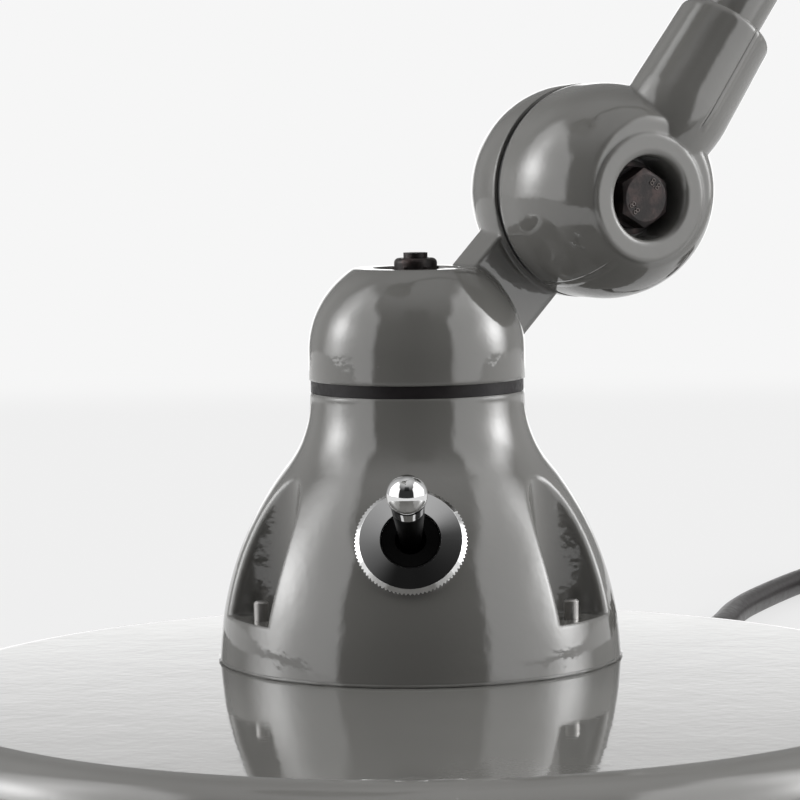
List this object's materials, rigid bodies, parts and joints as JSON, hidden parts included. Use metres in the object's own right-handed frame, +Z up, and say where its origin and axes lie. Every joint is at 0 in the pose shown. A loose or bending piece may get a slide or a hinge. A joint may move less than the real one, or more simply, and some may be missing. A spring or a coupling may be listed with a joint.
{
  "type": "articulated table lamp",
  "caption": "Table lamp with a round base, a bell-shaped foot with a toggle switch, and swing arms on ball-shaped friction joints that carry a spun shade.",
  "frame": {"origin": "centre of the base on the table, at the underside of its pad", "axes": "+Z up; -Y towards the viewer of the picture, the side with the switch; +X to the picture's right"},
  "size_m": [0.489, 0.5377, 0.722],
  "materials": {
    "grey_paint": "gloss",
    "cast_iron": "rough",
    "pad": "matt",
    "dark_steel": "black oxide",
    "zinc_steel": "zinc plated",
    "chrome": "polished",
    "gasket": "matt",
    "disc": "matt",
    "brass": "satin",
    "holder": "glazed",
    "glass": "frosted",
    "black_plastic": "matt",
    "cord": "satin"
  },
  "bodies": {
    "base": {"base_cover": "grey_paint", "base_ballast": "cast_iron", "ballast_nuts": "zinc_steel", "base_pad": "pad", "bell_housing": "grey_paint", "bell_screws": "zinc_steel", "bell_screw_washers": "zinc_steel", "swivel_bolt": "dark_steel", "swivel_springs": "dark_steel", "swivel_gasket": "gasket", "swivel_washer": "dark_steel", "swivel_nut": "dark_steel", "switch_body": "black_plastic", "switch_bushing": "brass", "switch_nut": "chrome", "switch_terminals": "brass", "cord_gland": "cord", "inner_lead": "cord", "cord_tail": "cord", "cord_coil": "cord", "cord_tie": "black_plastic", "plug_body": "black_plastic", "plug_pins": "chrome"},
    "knuckle": {"base_knuckle": "grey_paint", "lower_contact_disc": "disc", "lower_contact_rings": "brass", "lower_joint_bolt": "dark_steel", "lower_joint_washers": "dark_steel", "lower_joint_nut": "dark_steel"},
    "lower_arm": {"lower_arm_foot": "grey_paint", "lower_arm_tube": "grey_paint", "lower_arm_head": "grey_paint", "lower_arm_screws": "dark_steel", "lower_brushes": "brass", "elbow_brushes": "brass"},
    "upper_arm": {"upper_arm_foot": "grey_paint", "upper_arm_tube": "grey_paint", "upper_arm_head": "grey_paint", "upper_arm_screws": "dark_steel", "elbow_contact_disc": "disc", "elbow_contact_rings": "brass", "elbow_joint_bolt": "dark_steel", "elbow_joint_washers": "dark_steel", "elbow_joint_nut": "dark_steel", "head_contact_disc": "disc", "head_contact_rings": "brass", "head_joint_bolt": "dark_steel", "head_joint_washers": "dark_steel", "head_joint_nut": "dark_steel"},
    "head": {"head_knuckle": "grey_paint", "head_brushes": "brass", "shade": "grey_paint", "shade_ring": "zinc_steel", "lamp_holder": "holder", "cap_screws": "zinc_steel", "bulb_cap": "brass", "bulb_glass": "glass"},
    "lever": {"switch_lever": "chrome"}
  },
  "joints": [
    {"name": "swivel_turn", "type": "hinge", "parent": "base", "child": "knuckle", "pos_m": [0, 0.038, 0.0945], "axis": [0, 0, 1], "range_deg": [-165, 165]},
    {"name": "lower_hinge", "type": "hinge", "parent": "knuckle", "child": "lower_arm", "pos_m": [0.04287, 0.05455, 0.14175], "axis": [0.5075, -0.8616, 0], "range_deg": [-45, 70]},
    {"name": "elbow_hinge", "type": "hinge", "parent": "lower_arm", "child": "upper_arm", "pos_m": [0.24874, 0.17582, 0.46702], "axis": [0.5075, -0.8616, 0], "range_deg": [-91.3, 45]},
    {"name": "head_hinge", "type": "hinge", "parent": "upper_arm", "child": "head", "pos_m": [-0.03309, 0.0098, 0.69576], "axis": [0.5075, -0.8616, 0], "range_deg": [-70, 45]},
    {"name": "switch_throw", "type": "hinge", "parent": "base", "child": "lever", "pos_m": [-0.00214, -0.00279, 0.06115], "axis": [0.9986, -0.0523, 0], "range_deg": [0, 23]}
  ]
}
